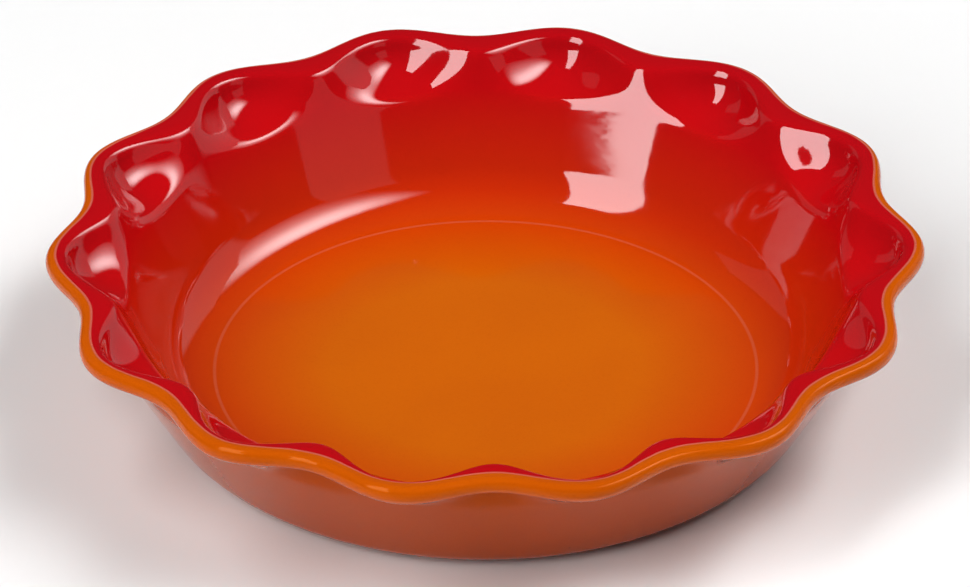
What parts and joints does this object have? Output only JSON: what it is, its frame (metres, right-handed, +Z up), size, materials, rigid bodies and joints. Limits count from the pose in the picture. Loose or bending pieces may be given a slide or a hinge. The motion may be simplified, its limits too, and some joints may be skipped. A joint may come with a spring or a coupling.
{
  "type": "pie dish",
  "caption": "Round stoneware pie dish with a ruffled rim, leaning sides and a bare foot ring, glazed red inside and orange outside.",
  "frame": {"origin": "middle of the foot ring, on the plane that the dish stands on", "axes": "+Z up through the middle of the dish, towards its open side; +X through the middle of a lobe of the rim, +Y through a notch"},
  "size_m": [0.2676, 0.262, 0.0498],
  "materials": {
    "bare_stoneware": "fired clay, bare and matt on the foot ring",
    "red_glaze": "glossy glaze, red at the rim and turning orange on the floor",
    "orange_glaze": "glossy orange glaze",
    "base_orange_glaze": "glossy orange glaze inside the foot ring"
  },
  "bodies": {
    "root": {"stoneware_body": "bare_stoneware", "inner_glaze": "red_glaze", "outer_glaze": "orange_glaze", "base_glaze": "base_orange_glaze"}
  },
  "joints": []
}
